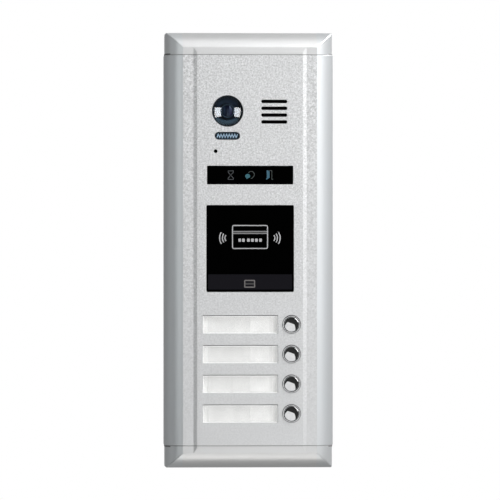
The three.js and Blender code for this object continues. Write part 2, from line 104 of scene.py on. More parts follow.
# ------------------------------------------------------------------ node helpers
class Tree:
    """A short way to write a material's nodes."""

    def __init__(self, name):
        self.mat = bpy.data.materials.new(name)
        self.mat.use_nodes = True
        self.nt = self.mat.node_tree
        self.nt.nodes.clear()
        self.out = self.nt.nodes.new("ShaderNodeOutputMaterial")
        self.co = None

    def node(self, kind, **inputs):
        n = self.nt.nodes.new(kind)
        for k, v in inputs.items():
            self.put(n, k.replace("_", " "), v)
        return n

    def put(self, n, socket, v):
        s = n.inputs[socket]
        if isinstance(v, bpy.types.NodeSocket):
            self.nt.links.new(v, s)
        elif isinstance(v, (tuple, list)) and s.type == "RGBA" and len(v) == 3:
            s.default_value = (*v, 1.0)
        else:
            s.default_value = v

    def coords(self):
        if self.co is None:
            self.co = self.nt.nodes.new("ShaderNodeTexCoord").outputs["Object"]
        return self.co

    def noise(self, size_mm, detail=2.0, rough=0.5, stretch=None):
        n = self.nt.nodes.new("ShaderNodeTexNoise")
        n.inputs["Scale"].default_value = 1000.0 / size_mm
        n.inputs["Detail"].default_value = detail
        n.inputs["Roughness"].default_value = rough
        src = self.coords()
        if stretch:
            m = self.nt.nodes.new("ShaderNodeMapping")
            m.inputs["Scale"].default_value = stretch
            self.nt.links.new(src, m.inputs["Vector"])
            src = m.outputs[0]
        self.nt.links.new(src, n.inputs["Vector"])
        return n.outputs["Fac"]

    def ramp(self, fac, stops):
        r = self.nt.nodes.new("ShaderNodeValToRGB")
        e = r.color_ramp.elements
        while len(e) < len(stops):
            e.new(0.5)
        for el, (p, c) in zip(e, stops):
            el.position = p
            el.color = (*c, 1.0) if len(c) == 3 else c
        self.nt.links.new(fac, r.inputs["Fac"])
        return r.outputs["Color"]

    def span(self, fac, lo, hi, a=0.0, b=1.0):
        m = self.nt.nodes.new("ShaderNodeMapRange")
        m.inputs["From Min"].default_value = a
        m.inputs["From Max"].default_value = b
        m.inputs["To Min"].default_value = lo
        m.inputs["To Max"].default_value = hi
        self.nt.links.new(fac, m.inputs["Value"])
        return m.outputs["Result"]

    def math(self, op, a, b=0.0, c=None):
        m = self.nt.nodes.new("ShaderNodeMath")
        m.operation = op
        for i, v in enumerate((a, b) if c is None else (a, b, c)):
            if isinstance(v, bpy.types.NodeSocket):
                self.nt.links.new(v, m.inputs[i])
            else:
                m.inputs[i].default_value = v
        return m.outputs[0]

    def mix(self, fac, a, b):
        m = self.nt.nodes.new("ShaderNodeMix")
        m.data_type = "RGBA"
        for i, v in ((0, fac), (6, a), (7, b)):
            if isinstance(v, bpy.types.NodeSocket):
                self.nt.links.new(v, m.inputs[i])
            else:
                m.inputs[i].default_value = v if i == 0 else (*v, 1.0)
        return m.outputs[2]

    def bump(self, height, depth_mm, strength=1.0, normal=None):
        b = self.nt.nodes.new("ShaderNodeBump")
        b.inputs["Distance"].default_value = depth_mm * MM
        b.inputs["Strength"].default_value = strength
        self.nt.links.new(height, b.inputs["Height"])
        if normal is not None:
            self.nt.links.new(normal, b.inputs["Normal"])
        return b.outputs["Normal"]

    def xyz(self):
        s = self.nt.nodes.new("ShaderNodeSeparateXYZ")
        self.nt.links.new(self.coords(), s.inputs[0])
        return s.outputs

    def principled(self, **inputs):
        p = self.node("ShaderNodeBsdfPrincipled", **inputs)
        self.nt.links.new(p.outputs[0], self.out.inputs["Surface"])
        return p


def plain(name, base, rough, metal=0.0, vary=0.06, grain=0.6, bump=0.02, spread=0.08, **extra):
    """A moulded or coated finish: fine colour variation, uneven gloss and a small grain."""
    t = Tree(name)
    big = t.noise(14.0, 3.0)
    fine = t.noise(grain, 2.0, 0.6)
    a = tuple(max(0.0, c * (1 - vary)) for c in base)
    b = tuple(min(1.0, c * (1 + vary)) for c in base)
    col = t.ramp(big, [(0.3, a), (0.7, b)])
    t.principled(
        Base_Color=col,
        Metallic=metal,
        Roughness=t.span(big, max(0.02, rough - spread / 2), rough + spread / 2, 0.3, 0.7),
        Normal=t.bump(fine, bump),
        **extra,
    )
    return t.mat


# ------------------------------------------------------------------ finishes
def paint(name, base, rough, metal, speck, bump_mm, grain_mm):
    """Silver coating: sand-sized grain with brighter and darker flakes, coarser and denser towards the top end."""
    t = Tree(name)
    g1 = t.noise(grain_mm, 2.0, 0.6)
    g2 = t.noise(grain_mm * 0.45, 2.0, 0.6)
    cloud = t.noise(30.0, 3.0, 0.5)
    g = t.math("ADD", t.math("MULTIPLY", g1, 0.62), t.math("MULTIPLY", g2, 0.38))
    x, _, z = t.xyz()[:3]
    flat = t.span(t.math("ABSOLUTE", x), 1.0, 0.0, 0.0546, 0.0550)
    amount = t.math("MULTIPLY", t.span(z, 0.22, 1.0, -0.150, 0.100), t.span(flat, 0.05, 1.0))
    g = t.math("ADD", t.math("MULTIPLY", t.math("ADD", g, -0.5), amount), 0.5)
    lo = tuple(c * (1 - speck) for c in base)
    hi = tuple(min(1.0, c * (1 + speck)) for c in base)
    col = t.ramp(g, [(0.36, lo), (0.5, base), (0.64, hi)])
    # The curved flanks (|x| past 54.6 mm) lose the grain, a smooth satin finish, and take a slightly cooler tint. That
    # tint is painted light: the cool cast of the side light.
    col = t.mix(flat, (base[0] * 0.975, base[1] * 1.0, base[2] * 1.015), col)
    col = t.mix(t.span(cloud, 0.0, 0.35, 0.4, 0.75), col, tuple(c * 0.975 for c in base))
    t.principled(
        Base_Color=col,
        Metallic=metal,
        Roughness=t.span(g2, rough - 0.05, rough + 0.07, 0.3, 0.7),
        Normal=t.bump(g, bump_mm),
    )
    return t.mat


M = {}
M["paint"] = paint("silver_sand_paint", (0.60, 0.606, 0.612), 0.42, 0.7, 0.30, 0.10, 1.35)
M["cap"] = paint("silver_satin_paint", (0.60, 0.604, 0.606), 0.40, 0.7, 0.02, 0.004, 1.0)
M["black"] = plain("black_moulded_plastic", (0.018, 0.018, 0.02), 0.5, vary=0.15, grain=0.5, bump=0.01)
M["rubber"] = plain("black_rubber", (0.022, 0.022, 0.022), 0.8, vary=0.2, grain=0.35, bump=0.02)
M["gloss"] = plain("gloss_black_window", (0.0004, 0.0004, 0.0005), 0.06, vary=0.2, grain=3.0, bump=0.0003, spread=0.03, Specular_IOR_Level=0.2)
# The reader strip's emission is a painted glow that makes it lighter than the black window.
M["smoke"] = plain("smoke_black_strip", (0.0102, 0.0098, 0.0125), 0.12, vary=0.08, grain=2.0, bump=0.0006, spread=0.04, Specular_IOR_Level=0.2, Emission_Color=(0.0092, 0.0088, 0.0112, 1.0), Emission_Strength=1.0)
M["eye"] = plain("dark_blue_camera_face", (0.014, 0.024, 0.036), 0.38, vary=0.15, grain=0.5, bump=0.003)
M["eye_black"] = plain("satin_black_lens_barrel", (0.0015, 0.0018, 0.0025), 0.35, vary=0.2, grain=0.5, bump=0.002)
M["navy"] = plain("navy_lamp_bed", (0.004, 0.010, 0.016), 0.3, vary=0.15, grain=0.6, bump=0.003)
# The prism's emission is a painted glow that brightens the zigzag; no lamp lights it.
M["prism"] = plain("pale_prism_painted_glow", (0.50, 0.57, 0.62), 0.2, vary=0.12, grain=0.5, bump=0.004, Emission_Color=(0.42, 0.50, 0.57, 1.0), Emission_Strength=0.10)
M["steel"] = plain("zinc_plated_steel", (0.56, 0.57, 0.575), 0.36, metal=1.0, vary=0.04, grain=0.8, bump=0.006, spread=0.10)
M["board"] = plain("green_solder_mask", (0.015, 0.12, 0.05), 0.35, vary=0.2, grain=1.2, bump=0.01)
M["milky"] = plain("milky_diffuser", (0.78, 0.79, 0.78), 0.5, vary=0.03, grain=0.8, bump=0.005)
M["cloth"] = plain("black_speaker_cloth", (0.0012, 0.0012, 0.0012), 0.9, vary=0.3, grain=0.3, bump=0.05, Specular_IOR_Level=0.05)
M["seam"] = plain("dark_joint", (0.22, 0.22, 0.222), 0.7, vary=0.1, grain=0.6, bump=0.004)
M["magnet"] = plain("dark_speaker_metal", (0.09, 0.09, 0.1), 0.42, metal=0.8, vary=0.15, grain=0.8, bump=0.008)
M["terminal"] = plain("green_terminal_plastic", (0.03, 0.26, 0.07), 0.4, vary=0.12, grain=0.7, bump=0.008)
M["blue"] = plain("blue_knob_plastic", (0.02, 0.09, 0.38), 0.4, vary=0.12, grain=0.5, bump=0.006)


def chrome(name):
    t = Tree(name)
    wave = t.noise(3.0, 2.0)
    fine = t.noise(0.25, 2.0)
    t.principled(
        Base_Color=t.ramp(wave, [(0.3, (0.80, 0.81, 0.82)), (0.7, (0.86, 0.865, 0.87))]),
        Metallic=1.0,
        Roughness=t.span(fine, 0.03, 0.07, 0.3, 0.7),
        Normal=t.bump(wave, 0.002),
    )
    return t.mat


M["chrome"] = chrome("polished_chrome")
# Near-black strip along the top edge of each name window: painted shadow of the opening's edge.
M["gasket"] = plain("dark_rubber_gasket", (0.035, 0.035, 0.036), 0.8, vary=0.2, grain=0.6, bump=0.004)
# Darkened chrome for the outer slope of the button rings: painted shade.
M["dark_chrome"] = plain("smoked_chrome_edge", (0.20, 0.20, 0.205), 0.25, metal=0.95, vary=0.12, grain=0.4, bump=0.002)


def clear(name, tint, ior=1.5, haze=0.0, rough=0.02):
    """A clear moulded window: what is behind shows straight through, with a mirror gloss that grows at grazing angles."""
    t = Tree(name)
    facing = t.node("ShaderNodeLayerWeight", Blend=0.5)
    f0 = ((ior - 1) / (ior + 1)) ** 2
    fres = t.math("MULTIPLY_ADD", t.math("POWER", facing.outputs["Facing"], 5.0), 1.0 - f0, f0)
    wave = t.noise(9.0, 2.0)
    nrm = t.bump(wave, 0.002)
    see = t.node("ShaderNodeBsdfTransparent", Color=t.ramp(wave, [(0.3, tint), (0.7, tuple(min(1.0, c * 1.03) for c in tint))]))
    gl = t.node("ShaderNodeBsdfGlossy", Color=(1.0, 1.0, 1.0), Roughness=t.span(wave, rough, rough + 0.02, 0.3, 0.7), Normal=nrm)
    m = t.nt.nodes.new("ShaderNodeMixShader")
    t.nt.links.new(fres, m.inputs[0])
    t.nt.links.new(see.outputs[0], m.inputs[1])
    t.nt.links.new(gl.outputs[0], m.inputs[2])
    t.nt.links.new(m.outputs[0], t.out.inputs["Surface"])
    return t.mat


M["dome"] = clear("clear_camera_dome", (0.72, 0.78, 0.84), ior=1.7)
M["clear"] = clear("clear_name_window", (0.95, 0.95, 0.945), ior=1.45, rough=0.05)


M["rim"] = plain("dark_blue_metal_rim", (0.09, 0.13, 0.16), 0.3, metal=0.1, vary=0.12, grain=0.4, bump=0.002)


def lens_with_painted_glints():
    """Coated glass: nearly black navy, with a painted blue glint and a painted violet glint at either side of the
    centre.
    """
    t = Tree("coated_lens_glass")
    x = t.xyz()[0]
    fine = t.noise(1.2, 2.0)
    u = t.math("ADD", t.math("MULTIPLY", x, 1000.0), -CAMERA[0])
    # The lighter blue patch left of the centre and the violet patch right of it are painted reflection glints.
    col = t.ramp(t.span(u, 0.0, 1.0, -4.4, 4.4), [(0.0, (0.004, 0.007, 0.018)), (0.2, (0.03, 0.045, 0.07)), (0.36, (0.005, 0.008, 0.022)), (0.62, (0.006, 0.007, 0.028)), (0.8, (0.055, 0.035, 0.085)), (1.0, (0.006, 0.006, 0.02))])
    t.principled(Base_Color=col, Roughness=t.span(fine, 0.04, 0.09, 0.3, 0.7), Coat_Weight=0.6, Coat_Roughness=0.03)
    return t.mat


M["lens"] = lens_with_painted_glints()
M["pane"] = clear("clear_lamp_pane", (0.85, 0.90, 0.94), ior=1.45)


def ink(name, color, glow=0.0, rough=0.45):
    t = Tree(name)
    n = t.noise(0.8, 2.0)
    col = t.ramp(n, [(0.3, tuple(c * 0.94 for c in color)), (0.7, tuple(min(1, c * 1.04) for c in color))])
    p = t.principled(Base_Color=col, Roughness=rough, Normal=t.bump(n, 0.002))
    # glow: an emission in the print's own colour, painted light.
    if glow:
        t.put(p, "Emission Color", col)
        t.put(p, "Emission Strength", glow)
    return t.mat


M["ink_light"] = ink("pale_grey_print", (0.36, 0.36, 0.37))
M["ink_mid"] = ink("grey_stripe_print", (0.16, 0.16, 0.165))
M["ink_dim"] = ink("dim_grey_print", (0.120, 0.112, 0.110))
M["ink_faint"] = ink("faint_grey_print", (0.035, 0.034, 0.034))
M["ink_outline"] = ink("dark_grey_outline", (0.020, 0.024, 0.028))
M["ink_green"] = ink("grey_green_outline", (0.019, 0.028, 0.026))
# The teal and blue prints carry a faint painted glow.
M["ink_teal"] = ink("teal_print", (0.009, 0.080, 0.105), glow=0.10)
M["ink_blue"] = ink("blue_teal_print", (0.015, 0.073, 0.112), glow=0.10)
# Name cards, slips and the light guide glow: painted light that brightens them.
M["paper"] = ink("name_card_painted_glow", (0.40, 0.401, 0.402), glow=1.32, rough=0.6)
M["slip"] = ink("name_slip_painted_glow", (0.43, 0.431, 0.432), glow=1.32, rough=0.6)
M["guide"] = ink("milky_light_guide", (0.72, 0.722, 0.723), glow=0.46, rough=0.5)
# The glowing white window edge is painted light: a highlight along the edges of each name window.
M["lip"] = ink("milky_window_edge", (0.82, 0.822, 0.823), glow=0.28, rough=0.4)


# ------------------------------------------------------------------ mesh helpers, millimetres
class Shell:
    """Collects points and faces that share points, so a closed solid stays closed."""

    def __init__(self):
        self.v, self.f, self.m = [], [], []

    def ring(self, pts):
        i = len(self.v)
        self.v += [tuple(p) for p in pts]
        return list(range(i, i + len(pts)))

    def face(self, idx, mat=0):
        self.f.append(tuple(idx))
        self.m.append(mat)

    def bridge(self, a, b, closed=True, mat=0, skip=()):
        n = len(a)
        for i in range(n if closed else n - 1):
            if i in skip:
                continue
            j = (i + 1) % n
            self.face((a[i], a[j], b[j], b[i]), mat)

    def fill(self, loops, drop, mat=0):
        """Flat face between the first loop and the others, which are holes. drop is the axis left out."""
        flat = [[Vector([c for k, c in enumerate(self.v[i]) if k != drop] + [0.0]) for i in lp] for lp in loops]
        idx = [i for lp in loops for i in lp]
        for tri in tessellate_polygon(flat):
            self.face([idx[k] for k in tri], mat)

    def add(self, other):
        k = len(self.v)
        self.v += other.v
        self.f += [tuple(i + k for i in f) for f in other.f]
        self.m += other.m

    def piece(self, name, mats, body="panel", replaces=(), slot=None, angle=32, at=(0, 0, 0), bevel=None, weighted=True, merge=True):
        me = bpy.data.meshes.new(name)
        me.from_pydata([((x + at[0]) * MM, (y + at[1]) * MM, (z + at[2]) * MM) for x, y, z in self.v], [], self.f)
        for mt in mats:
            me.materials.append(mt)
        for p, k in zip(me.polygons, self.m):
            p.material_index = k
        bm = bmesh.new()
        bm.from_mesh(me)
        if merge:
            bmesh.ops.remove_doubles(bm, verts=bm.verts, dist=1e-7)
        bmesh.ops.recalc_face_normals(bm, faces=bm.faces)
        bm.to_mesh(me)
        bm.free()
        me.shade_smooth()
        me.set_sharp_from_angle(angle=rad(angle))
        ob = bpy.data.objects.new(name, me)
        SCENE.collection.objects.link(ob)
        if bevel:
            b = ob.modifiers.new("edge", "BEVEL")
            b.width, b.segments, b.limit_method, b.angle_limit = bevel[0] * MM, bevel[1], "ANGLE", rad(bevel[2])
            b.use_clamp_overlap = True
            b.miter_outer = "MITER_ARC"
            b.harden_normals = False
        if weighted:
            w = ob.modifiers.new("normals", "WEIGHTED_NORMAL")
            w.keep_sharp = True
            w.weight = 60
        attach(ob, body)
        if replaces:
            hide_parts(*replaces)
        return ob


def circle(cx, cz, r, n=48, start=0.0):
    return lambda d: [(cx + (r + d) * math.cos(start + 2 * math.pi * i / n), cz + (r + d) * math.sin(start + 2 * math.pi * i / n)) for i in range(n)]


def rrect(cx, cz, w, h, r, n=6):
    def loop(d):
        rr, ww, hh = max(r + d, 0.02), w + 2 * d, h + 2 * d
        pts = []
        for sx, sz, a0 in ((1, -1, -90), (1, 1, 0), (-1, 1, 90), (-1, -1, 180)):
            for i in range(n + 1):
                a = rad(a0 + 90.0 * i / n)
                pts.append((cx + sx * (ww / 2 - rr) + rr * math.cos(a), cz + sz * (hh / 2 - rr) + rr * math.sin(a)))
        return pts

    return loop


def at_y(pts, y):
    return [(x, y, z) for x, z in pts]


def plate(loop, levels, holes=(), mats=0):
    """A closed solid swept along y. levels: (outset, y) from front to back; holes: (loop, levels) of the same kind."""
    s = Shell()
    rings = [s.ring(at_y(loop(d), y)) for d, y in levels]
    for a, b in zip(rings, rings[1:]):
        s.bridge(a, b, mat=mats)
    first, last = [rings[0]], [rings[-1]]
    for hl, hlev in holes:
        hr = [s.ring(at_y(hl(d), y)) for d, y in hlev]
        for a, b in zip(hr, hr[1:]):
            s.bridge(a, b, mat=mats)
        first.append(hr[0])
        last.append(hr[-1])
    for lp in (first, last):
        if len(lp) == 1:
            s.face(lp[0], mats)
        else:
            s.fill(lp, 1, mats)
    return s


def prism(outer, y0, y1, holes=()):
    """A flat shape between y0 and y1, from outlines of (x, z) points."""
    s = Shell()
    fr = [s.ring(at_y(lp, y0)) for lp in (outer, *holes)]
    bk = [s.ring(at_y(lp, y1)) for lp in (outer, *holes)]
    for a, b in zip(fr, bk):
        s.bridge(a, b)
    s.fill(fr, 1)
    s.fill(bk, 1)
    return s


def ribbon(points, w, y0, y1, closed=False):
    """A flat line of width w along points (x, z), between y0 and y1."""
    s = Shell()
    n = len(points)
    left, right = [], []
    for i, q in enumerate(points):
        p = Vector(q)
        a = Vector(points[i - 1]) if (i or closed) else None
        b = Vector(points[(i + 1) % n]) if (i < n - 1 or closed) else None
        u = (p - a).normalized() if a is not None else (b - p).normalized()
        v = (b - p).normalized() if b is not None else u
        t = (u + v).normalized()
        k = w / 2 / max(0.45, t.dot(u))
        left.append((p.x - t.y * k, p.y + t.x * k))
        right.append((p.x + t.y * k, p.y - t.x * k))
    a, b, c, d = s.ring(at_y(left, y0)), s.ring(at_y(right, y0)), s.ring(at_y(right, y1)), s.ring(at_y(left, y1))
    for e, f in ((a, b), (b, c), (c, d), (d, a)):
        s.bridge(e, f, closed=closed)
    if not closed:
        s.face((a[0], b[0], c[0], d[0]))
        s.face((a[-1], b[-1], c[-1], d[-1]))
    return s


def bow(x_mid, x_end, z, half, n=12):
    """Points of a shallow arc through (x_mid, z) whose ends are at (x_end, z +- half)."""
    sag = x_end - x_mid
    r = (half * half + sag * sag) / (2 * abs(sag))
    cx = x_mid + math.copysign(r, sag)
    a = math.asin(half / r)
    return [(cx - math.copysign(r * math.cos(-a + 2 * a * i / n), sag), z + r * math.sin(-a + 2 * a * i / n)) for i in range(n + 1)]


def oval(cx, cz, rx, rz, a0, a1, n=20):
    return [(cx + rx * math.cos(rad(a0 + (a1 - a0) * i / n)), cz + rz * math.sin(rad(a0 + (a1 - a0) * i / n))) for i in range(n + 1)]


def soft(front, back, r, steps=3, back_r=0.0):
    """Levels of a plate whose front edge is rounded by r, and its back edge by back_r."""
    out = [(-r * (1 - math.sin(rad(90.0 * i / steps))), front + r * (1 - math.cos(rad(90.0 * i / steps)))) for i in range(steps + 1)]
    if back_r:
        out += [(-back_r * (1 - math.cos(rad(90.0 * i / steps))), back - back_r * (1 - math.sin(rad(90.0 * i / steps)))) for i in range(steps + 1)]
    else:
        out.append((0.0, back))
    return out


def hole_levels(front, back, r, steps=3, back_r=0.0):
    out = [(r * (1 - math.sin(rad(90.0 * i / steps))), front + r * (1 - math.cos(rad(90.0 * i / steps)))) for i in range(steps + 1)]
    if back_r:
        out += [(back_r * (1 - math.cos(rad(90.0 * i / steps))), back - back_r * (1 - math.sin(rad(90.0 * i / steps)))) for i in range(steps + 1)]
    else:
        out.append((0.0, back))
    return out


def lathe(profile, n=96, axis="y", mats=None):
    """Turns (r, h) points about the y (or z) axis. Ends on the axis close by themselves; otherwise the profile is a closed loop."""
    s = Shell()
    rings = []
    for r, h in profile:
        if r < 1e-6:
            rings.append(s.ring([(0, h, 0) if axis == "y" else (0, 0, h)]))
        else:
            pts = []
            for i in range(n):
                c, d = r * math.cos(2 * math.pi * i / n), r * math.sin(2 * math.pi * i / n)
                pts.append((c, h, d) if axis == "y" else (c, d, h))
            rings.append(s.ring(pts))
    pairs = list(zip(rings, rings[1:]))
    if len(rings[0]) > 1:
        pairs.append((rings[-1], rings[0]))
    for k, (a, b) in enumerate(pairs):
        mt = mats[k] if mats else 0
        if len(a) == 1 and len(b) == 1:
            continue
        if len(a) == 1:
            for i in range(n):
                s.face((a[0], b[i], b[(i + 1) % n]), mt)
        elif len(b) == 1:
            for i in range(n):
                s.face((a[i], a[(i + 1) % n], b[0]), mt)
        else:
            s.bridge(a, b, mat=mt)
    return s


def box_shell(x0, x1, y0, y1, z0, z1, mat=0):
    s = Shell()
    a = s.ring([(x0, y0, z0), (x1, y0, z0), (x1, y1, z0), (x0, y1, z0)])
    b = s.ring([(x0, y0, z1), (x1, y0, z1), (x1, y1, z1), (x0, y1, z1)])
    s.bridge(a, b, mat=mat)
    s.face(a, mat)
    s.face(b, mat)
    return s


def fillet(points, radii, steps=4):
    """Rounds the corners of an open run of 2D points."""
    out = [points[0]]
    for k in range(1, len(points) - 1):
        p, a, b, r = Vector(points[k]), Vector(points[k - 1]), Vector(points[k + 1]), radii.get(k, 0.0)
        if r <= 0:
            out.append(tuple(p))
            continue
        u, v = (a - p).normalized(), (b - p).normalized()
        ang = u.angle(v)
        t = r / math.tan(ang / 2)
        t = min(t, (a - p).length * 0.45, (b - p).length * 0.45)
        r = t * math.tan(ang / 2)
        c = p + (u + v).normalized() * (r / math.sin(ang / 2))
        s0, s1 = p + u * t - c, p + v * t - c
        a0 = math.atan2(s0.y, s0.x)
        da = math.atan2(s1.y, s1.x) - a0
        da = (da + math.pi) % (2 * math.pi) - math.pi
        for i in range(steps + 1):
            w = a0 + da * i / steps
            out.append((c.x + r * math.cos(w), c.y + r * math.sin(w)))
    out.append(points[-1])
    return out


# ------------------------------------------------------------------ front panel
FCX = CREASE_HALF - FLANK_R * math.sin(rad(FLANK_T0))
FCY = STRIP_Y + FLANK_R * math.cos(rad(FLANK_T0))


def flank(r, n, dx=1.0):
    pts = []
    for i in range(n + 1):
        t = rad(FLANK_T0 + (FLANK_T1 - FLANK_T0) * i / n)
        x = FCX + r * math.sin(t)
        pts.append((CREASE_HALF + (x - CREASE_HALF) * dx, FCY - r * math.cos(t)))
    return pts


def outer_run(dx=1.0):
    """Right half of the front's outline, from the centre face to the rear rim."""
    arc = flank(FLANK_R, 22, dx)
    head = fillet([(20.0, FACE_Y), (CENTRE_HALF, FACE_Y), (STEP_HALF, STRIP_Y), arc[0], arc[3]], {1: 1.6, 2: 1.2, 3: 1.0}, 3)
    side = arc[-1][0]
    tail = fillet([arc[-1], (side, RIM_Y), (side - 2.2, RIM_Y)], {1: 0.4}, 3)
    return head[1:-1] + arc[1:-1] + tail[:-1]


def inner_run():
    arc = flank(FLANK_R - 2.2, 14)
    side = arc[-1][0]
    return [(CENTRE_HALF - 0.2, FACE_Y + 2.4), (STEP_HALF, STRIP_Y + 2.1), (arc[0][0], STRIP_Y + 2.1), *arc[1:], (side, RIM_Y)]


def offset_run(run, d):
    out = []
    for i, p in enumerate(run):
        a = Vector(run[max(i - 1, 0)])
        b = Vector(run[min(i + 1, len(run) - 1)])
        t = (b - a).normalized()
        out.append((p[0] - t.y * d, p[1] + t.x * d))
    return out


def front_panel():
    s = Shell()
    run, inn = outer_run(), inner_run()
    shrunk = offset_run(run, 0.28)
    no = len(run)

    def section(outer, z):
        left = [(-x, y, z) for x, y in reversed(outer)]
        right = [(x, y, z) for x, y in outer]
        ir = [(x, y, z) for x, y in reversed(inn)]
        il = [(-x, y, z) for x, y in inn]
        return s.ring(left + right + ir + il)

    zs = BODY_HALF - 0.28
    r0, r1, r2, r3 = section(shrunk, -BODY_HALF), section(run, -zs), section(run, zs), section(shrunk, BODY_HALF)
    face_edge = no - 1  # from the left end of the centre face to its right end
    inner_edge = 2 * no + len(inn) - 1
    s.bridge(r0, r1)
    s.bridge(r1, r2, skip=(face_edge, inner_edge))
    s.bridge(r2, r3)
    s.face(r0)
    s.face(r3)
    holes = []
    holes.append((circle(CAMERA[0], CAMERA[2], 12.75, 72), 0.3))
    holes.append((rrect(LAMP[0], LAMP[1], LAMP[2] + 0.4, LAMP[3] + 0.4, (LAMP[3] + 0.4) / 2 - 0.01, 14), 0.22))
    holes.append((circle(MIC[0], MIC[1], MIC[2], 28), 0.18))
    holes.append((rrect(STATUS[0], STATUS[1], STATUS[2] + 0.5, STATUS[3] + 0.5, 0.6, 4), 0.2))
    holes.append((rrect(READER[0], READER[1], READER[2] + 0.5, READER[3] + 0.5, 1.25, 6), 0.2))
    for i in range(4):
        holes.append((rrect(SPEAKER[0], SPEAKER[1] + SPEAKER[4] * (1.5 - i), SPEAKER[2], SPEAKER[3], SPEAKER[3] / 2 - 0.01, 10), 0.2))
    for z in ROW_Z:
        holes.append((rrect(NAME[0], z, NAME[1] + 0.4, NAME[2] + 0.4, 0.5, 4), 0.25))
        holes.append((circle(BUTTON_X, z, 7.25, 56), 0.2))
    front = [[r1[face_edge], r1[face_edge + 1], r2[face_edge + 1], r2[face_edge]]]
    rear = [[r1[inner_edge], r1[inner_edge + 1], r2[inner_edge + 1], r2[inner_edge]]]
    for lp, r in holes:
        rings = [s.ring(at_y(lp(d), y)) for d, y in hole_levels(FACE_Y, FACE_Y + 2.4, r, 3)]
        for a, b in zip(rings, rings[1:]):
            s.bridge(a, b)
        front.append(rings[0])
        rear.append(rings[-1])
    s.fill(front, 1)
    s.fill(rear, 1)
    return s.piece("front_panel_skin", [M["paint"]], replaces=("front_panel",), slot="silver_paint", angle=26)


front_panel()


# ------------------------------------------------------------------ end caps
def end_cap(name, node, sign):
    s = Shell()
    dx = (69.0 - CREASE_HALF - 0.75) / (69.0 - CREASE_HALF)
    k = (HALF_H - CAP_CREASE) / (69.0 - CREASE_HALF)
    wall, z0 = 2.2, CAP_START

    def rail(r, n):
        arc = flank(r, n, dx)
        return [(x, y, CAP_CREASE + (x - CREASE_HALF) / dx * k) for x, y in arc]

    def line(X, Y, Z, rho, split):
        pts = [(-X, Y, z0)]
        for i in range(6):
            a = rad(180 - 90 * i / 5)
            pts.append((-X + rho + rho * math.cos(a), Y, Z - rho + rho * math.sin(a)))
        pts += [(-split, Y, Z), (split, Y, Z)]
        for i in range(6):
            a = rad(90 - 90 * i / 5)
            pts.append((X - rho + rho * math.cos(a), Y, Z - rho + rho * math.sin(a)))
        pts.append((X, Y, z0))
        return pts

    outer = rail(FLANK_R, 22)
    lines = []
    for i, (x, y, z) in enumerate(outer):
        lines.append(s.ring(line(x, y, min(z, HALF_H), 0.35 + 0.9 * min(1.0, i / 14), STEP_HALF)))
    X, Z = outer[-1][0], HALF_H
    for y, d in ((RIM_Y - 0.35, 0.0), (RIM_Y - 0.1, 0.1), (RIM_Y, 0.35)):
        lines.append(s.ring(line(X - d, y, Z - d, 1.25, STEP_HALF)))
    inside = [(X - wall, RIM_Y, Z - wall)]
    for x, y, z in reversed(rail(FLANK_R - wall, 8)):
        inside.append((x, y, min(z, Z - wall)))
    inner = [s.ring(line(x, y, z, 1.0, STEP_HALF - 2)) for x, y, z in inside]
    for a, b in zip(lines + inner, (lines + inner)[1:]):
        s.bridge(a, b, closed=False)
    # front: two strips, two slopes, the run-out and the raised centre
    c = lines[0]
    f = s.ring(
        [
            (-STEP_HALF, STRIP_Y, z0), (-CENTRE_HALF, FACE_Y, z0), (CENTRE_HALF, FACE_Y, z0), (STEP_HALF, STRIP_Y, z0),
            (-CENTRE_HALF, FACE_Y, CAP_SLOPE), (CENTRE_HALF, FACE_Y, CAP_SLOPE),
        ]
    )
    sl, sr = c[7], c[8]
    s.face([f[0], c[0], *c[1:7], sl])
    s.face([sr, *c[9:15], c[15], f[3]])
    s.face([f[1], f[0], sl, f[4]])
    s.face([f[3], f[2], f[5], sr])
    s.face([f[4], sl, sr, f[5]])
    s.face([f[2], f[1], f[4], f[5]])
    s.face(inner[-1])
    seam = [ln[0] for ln in reversed(lines)] + f[:4] + [ln[-1] for ln in lines] + [ln[-1] for ln in inner] + [ln[0] for ln in reversed(inner)]
    s.face(seam)
    # tongue that closes the joint line from inside
    run = [(x, y) for x, y in offset_run(outer_run(), 0.45)]
    rin = [(x, y) for x, y in offset_run(outer_run(), 1.6)]
    t = Shell()
    def sec(z):
        return t.ring([(-x, y, z) for x, y in reversed(run)] + [(x, y, z) for x, y in run] + [(x, y, z) for x, y in reversed(rin)] + [(-x, y, z) for x, y in rin])
    a, b = sec(z0 - 1.6), sec(z0 + 1.0)
    t.bridge(a, b, mat=1)
    t.face(a, 1)
    t.face(b, 1)
    s.add(t)
    if sign < 0:
        s.v = [(x, y, -z) for x, y, z in s.v]
    return s.piece(name, [M["cap"], M["seam"]], replaces=(node,), slot="cap_silver", angle=9, bevel=(0.3, 2, 12))


end_cap("top_cap_shell", "top_end_cap", 1)
end_cap("bottom_cap_shell", "bottom_end_cap", -1)


# ------------------------------------------------------------------ camera
def arc_profile(R, cy, r0, r1, n):
    return [(r0 + (r1 - r0) * i / n, cy - math.sqrt(R * R - (r0 + (r1 - r0) * i / n) ** 2)) for i in range(n + 1)]


